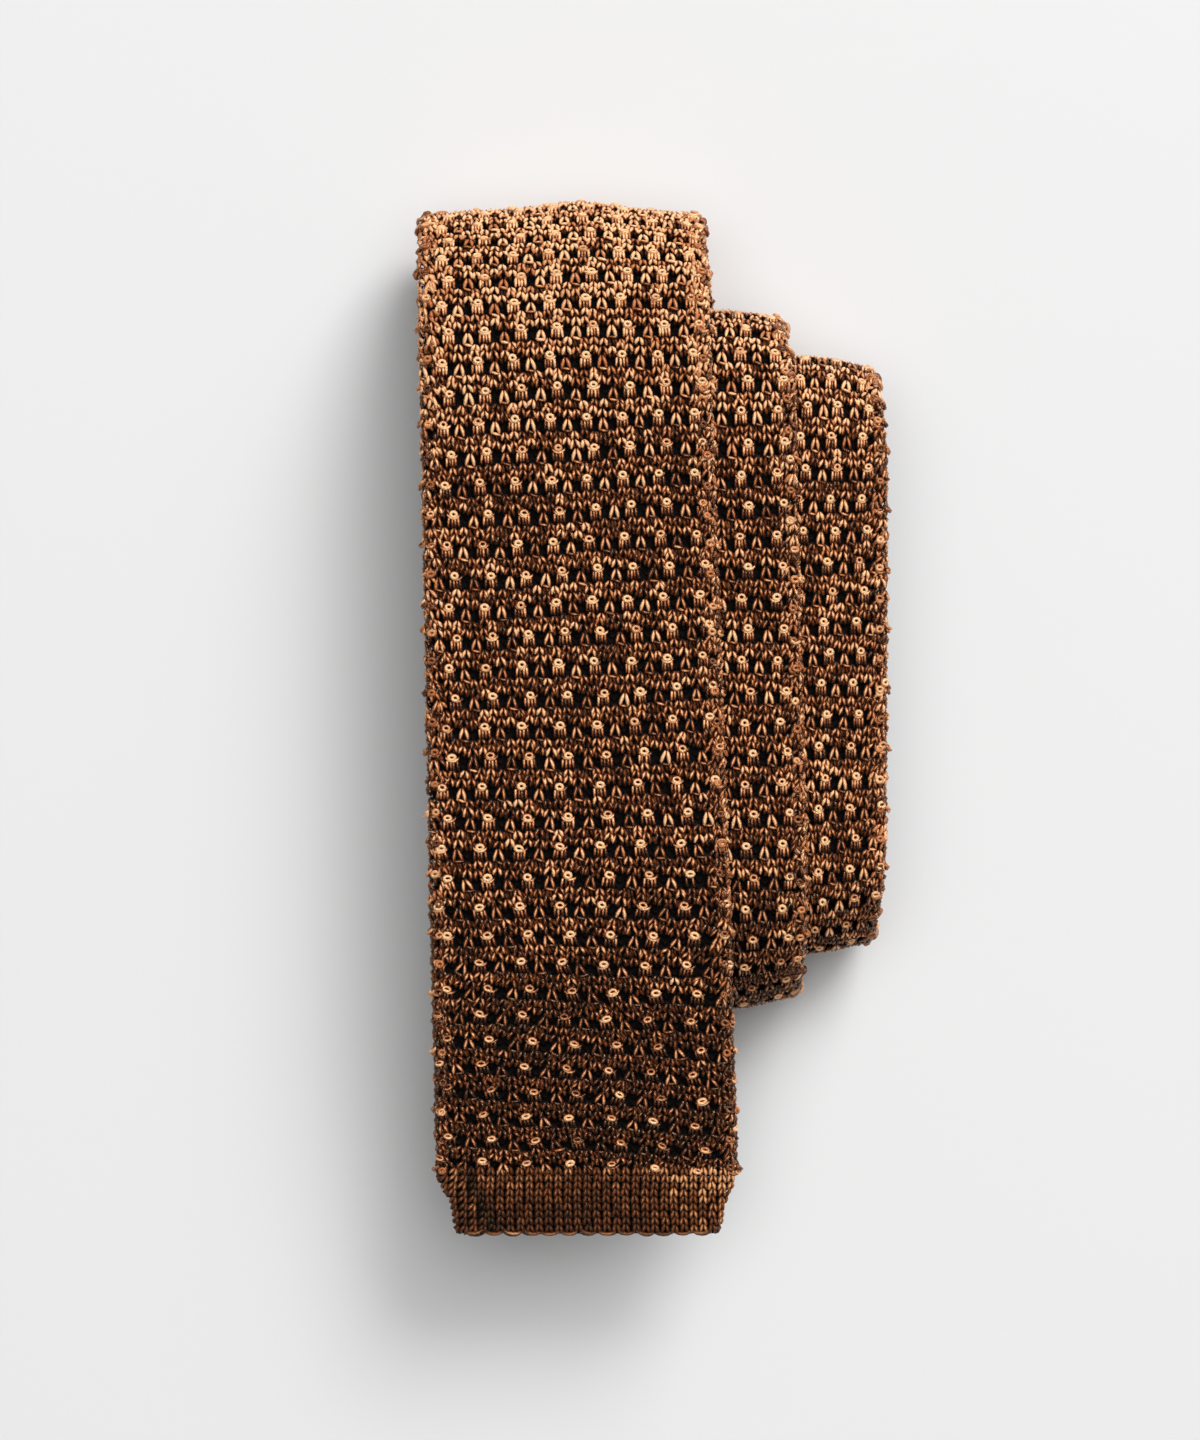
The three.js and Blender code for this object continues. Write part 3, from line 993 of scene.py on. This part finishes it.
def edge_loops(along, lift):
    """A row of looped stitches round the band's free edge."""
    side = np.arange(-BAND_COLUMNS, BAND_COLUMNS + 1) * LOOP_PITCH
    repeat = plain_repeat(np.full_like(side, along), side)
    sites = scatter(repeat, 0.0, 0.0, wide=LOOP_PITCH / LOOP_WIDTH, long=LOOP_LONG, lift=lift, jitter=1.2)
    return kept(sites, inside_corners)


band_parts = plain_knit(BAND_START, END_BAND_LENGTH + BAND_PAST, whole(0.2, END_BAND_LENGTH + 1.6))
for along, lift in LOOP_ROWS:
    band_parts.append(strands(CUP, edge_loops(along, lift)))
knit.append(mesh_piece("blade_band_knit", band_parts, band_yarn))

# Heights of the cloth's outer face over its middle, under the yarn and where it is bare.
UNDER_KNIT = 0.15
FULL = 1.3
# Points across each face of the cloth and round each edge, and how far its edge stands out.
FACE_POINTS = 15
EDGE_POINTS = 7
EDGE_ROUND = 0.9
# How much painted shade darkens the edge beside yarn, and how far the back's stitches are shifted from the
# front's.
EDGE_COVERED_SHADE = 0.6
BACK_SHIFT = 90
# How far the band's cloth stops short of its looped edge.
BAND_INSET = 0.3


def shell(name, start, end, cover, material):
    """Closed cloth between two distances along; cover(along) is 1 under yarn, where the cloth is sunk and
    given painted shade, and 0 where it is bare.
    """
    inside = (LINE["along"] > start) & (LINE["along"] < end)
    steps = np.unique(np.concatenate([[start, end], LINE["along"][inside]]))
    covered = cover(steps)
    top = mix(FULL, UNDER_KNIT, covered)
    middle, half_high = (top - FULL) / 2, (top + FULL) / 2
    flat = at("half", steps) - EDGE_RADIUS
    outs, ups, lays, painted_shade = [], [], [], []
    for sign in (1, -1):
        shift = (sign < 0) * BACK_SHIFT
        for share in np.linspace(-1, 1, FACE_POINTS):
            outs.append(sign * share * flat)
            ups.append(middle + sign * half_high)
            lays.append(sign * share * flat + shift)
            painted_shade.append(covered * (sign > 0))
        for turn in np.linspace(0, math.pi, EDGE_POINTS)[1:-1]:
            outs.append(sign * (flat + EDGE_ROUND * half_high * math.sin(turn)))
            ups.append(middle + sign * half_high * math.cos(turn))
            lays.append(sign * (flat + turn) + shift)
            painted_shade.append(covered * EDGE_COVERED_SHADE)
    points = place(steps[:, None], np.array(outs).T, np.array(ups).T)
    count, around = points.shape[:2]
    quads, caps = tube_faces(1, count, around, False)
    lay = np.stack([np.array(lays).T, np.broadcast_to(steps[:, None], (count, around))], axis=-1)
    # The cloth's tone attribute holds only its painted shade under yarn.
    tone_and_painted_light = np.array(painted_shade).T.ravel()
    part = (points.reshape(-1, 3), quads, caps, lay.reshape(-1, 2), tone_and_painted_light, np.zeros_like(tone_and_painted_light))
    return mesh_piece(name, [part], material)


def blade_cover(along):
    """1 where the blade's cloth lies sunk, with painted shade, for yarn over it, 0 where it is bare."""
    covered = np.zeros_like(along)
    for start, end in (
        (0, KNIT_END),
        (FOLD_SPANS[2][0], FOLD_SPANS[3][1]),
        (FOLD_SPANS[4][0], FOLD_SPANS[5][1]),
    ):
        covered = np.maximum(covered, smooth((along - start + 1) / 2) * smooth((end + 1 - along) / 2))
    return covered


def middle_of(layer):
    """Distance along of the middle of a layer's level run."""
    own = (LINE["layer"] == layer) & (np.abs(LINE["z"] - layer_height(layer)) < 1e-6)
    alongs = LINE["along"][own]
    return float(alongs[0] + alongs[-1]) / 2


neck_start, tail_start = middle_of(NECK_LAYER), middle_of(TAIL_LAYER)
tail_band_start = TIE_LENGTH - TAIL_BAND_LENGTH
# A cloth is bare, or sunk with painted shade all along as under yarn.
bare = np.zeros_like
sunk = np.ones_like
cloths = {
    "blade_end_band": shell("blade_band_cloth", BAND_INSET, END_BAND_LENGTH, sunk, cloth),
    "blade": shell("blade_cloth", END_BAND_LENGTH + PIECE_GAP, neck_start, blade_cover, cloth),
    "neck": shell("neck_cloth", neck_start + PIECE_GAP, tail_start, bare, cloth),
    "tail": shell("tail_cloth", tail_start + PIECE_GAP, tail_band_start, bare, cloth),
    "tail_end_band": shell("tail_band_cloth", tail_band_start + PIECE_GAP, TIE_LENGTH, bare, cloth),
}
spans = {
    "blade_end_band": (0, END_BAND_LENGTH),
    "blade": (END_BAND_LENGTH, neck_start),
    "neck": (neck_start, tail_start),
    "tail": (tail_start, tail_band_start),
    "tail_end_band": (tail_band_start, TIE_LENGTH),
}
# Places along a cloth at which its width is taken, for its flat size.
WIDTH_STATIONS = 200


for name, piece in cloths.items():
    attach(piece, "root")
    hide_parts(name)
for piece in knit:
    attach(piece, "root")
for name, piece in cloths.items():
    start, end = spans[name]
    widths = 2 * at("half", np.linspace(start, end, WIDTH_STATIONS)) / 1000
    length, width = (end - start) / 1000, float(widths.max())

FLOOR_SIZE = 12
FLOOR_STOPS = ((0.0, (0.80, 0.80, 0.80)), (1.0, (0.815, 0.815, 0.815)))


def add_floor():
    material, tree, shader = material_tree("pale_floor", 0.9, 0.0)
    shader.inputs["Specular IOR Level"].default_value = 0.1
    set_colour(tree, shader, noise_of(tree, 3), FLOOR_STOPS)
    bpy.ops.mesh.primitive_plane_add(size=FLOOR_SIZE)
    floor = bpy.context.object
    floor.name = "floor"
    floor.data.materials.append(material)


# The studio's even light, and the brighter light along the horizon with the angle at which it ends.
FILL = 0.05
HORIZON = 0.5
HORIZON_TOP = math.radians(16)
# Broad soft lights of the studio: azimuth and elevation, inner and outer half angle in degrees, and strength.
LOBES = (
    (60, 40, 4, 34, 1.9),
    (90, 84, 10, 40, 2.05),
)


def soft_step(sky, value, low, high, strength):
    """strength times a smooth step of value from low to high."""
    made = node(sky, "ShaderNodeMapRange", interpolation_type="SMOOTHSTEP")
    for name, number in (("From Min", low), ("From Max", high), ("To Min", 0.0), ("To Max", strength)):
        made.inputs[name].default_value = number
    sky.links.new(value, made.inputs["Value"])
    return made.outputs["Result"]


def soft_lobe(sky, direction, azimuth, elevation, inner, outer, strength):
    azimuth, elevation, inner, outer = (math.radians(angle) for angle in (azimuth, elevation, inner, outer))
    flat = math.cos(elevation)
    toward = node(sky, "ShaderNodeVectorMath", operation="DOT_PRODUCT")
    toward.inputs[1].default_value = (flat * math.cos(azimuth), flat * math.sin(azimuth), math.sin(elevation))
    sky.links.new(direction, toward.inputs[0])
    return soft_step(sky, toward.outputs["Value"], math.cos(outer), math.cos(inner), strength)


def add_world():
    world = bpy.data.worlds.new("studio")
    world.use_nodes = True
    sky = world.node_tree
    direction = node(sky, "ShaderNodeTexCoord").outputs["Generated"]
    level_of = node(sky, "ShaderNodeSeparateXYZ")
    sky.links.new(direction, level_of.inputs[0])
    level = math_node(sky, "ABSOLUTE", level_of.outputs["Z"])
    strength = math_node(sky, "ADD", soft_step(sky, level, math.sin(HORIZON_TOP), 0.0, HORIZON), FILL)
    for lobe in LOBES:
        strength = math_node(sky, "ADD", strength, soft_lobe(sky, direction, *lobe))
    background = sky.nodes["Background"]
    background.inputs["Color"].default_value = (1, 1, 1, 1)
    sky.links.new(strength, background.inputs["Strength"])
    bpy.context.scene.world = world


# The softbox, in metres and watts.
KEY_AZIMUTH = math.radians(60)
KEY_ELEVATION = math.radians(39)
KEY_DISTANCE = 3.0
KEY_SIZE = 1.3
KEY_POWER = 50.0


def add_key_light():
    light = bpy.data.lights.new("softbox", "AREA")
    light.shape = "SQUARE"
    light.size = KEY_SIZE
    light.energy = KEY_POWER
    key = bpy.data.objects.new("softbox", light)
    level = math.cos(KEY_ELEVATION)
    key.location = (
        KEY_DISTANCE * level * math.cos(KEY_AZIMUTH),
        KEY_DISTANCE * level * math.sin(KEY_AZIMUTH),
        KEY_DISTANCE * math.sin(KEY_ELEVATION),
    )
    key.rotation_euler = (math.pi / 2 - KEY_ELEVATION, 0, KEY_AZIMUTH + math.pi / 2)
    bpy.context.scene.collection.objects.link(key)


# The camera looks straight down. In millimetres, the middle of the view, its longer side and the height
# at which it has that size; in metres, the camera's height; and the sensor's width.
FRAME_CENTRE = (-10.9, -0.5)
FRAME_LONG = 298.0
FRAME_LEVEL = 28.0
CAMERA_HEIGHT = 1.2
SENSOR_WIDTH = 36


def add_camera():
    data = bpy.data.cameras.new("camera")
    data.sensor_width = SENSOR_WIDTH
    data.lens = SENSOR_WIDTH * (CAMERA_HEIGHT * 1000 - FRAME_LEVEL) / FRAME_LONG
    camera = bpy.data.objects.new("camera", data)
    camera.location = (FRAME_CENTRE[0] / 1000, FRAME_CENTRE[1] / 1000, CAMERA_HEIGHT)
    bpy.context.scene.collection.objects.link(camera)
    bpy.context.scene.camera = camera


add_floor()
add_world()
add_key_light()
add_camera()
bpy.context.scene.view_settings.view_transform = "Standard"
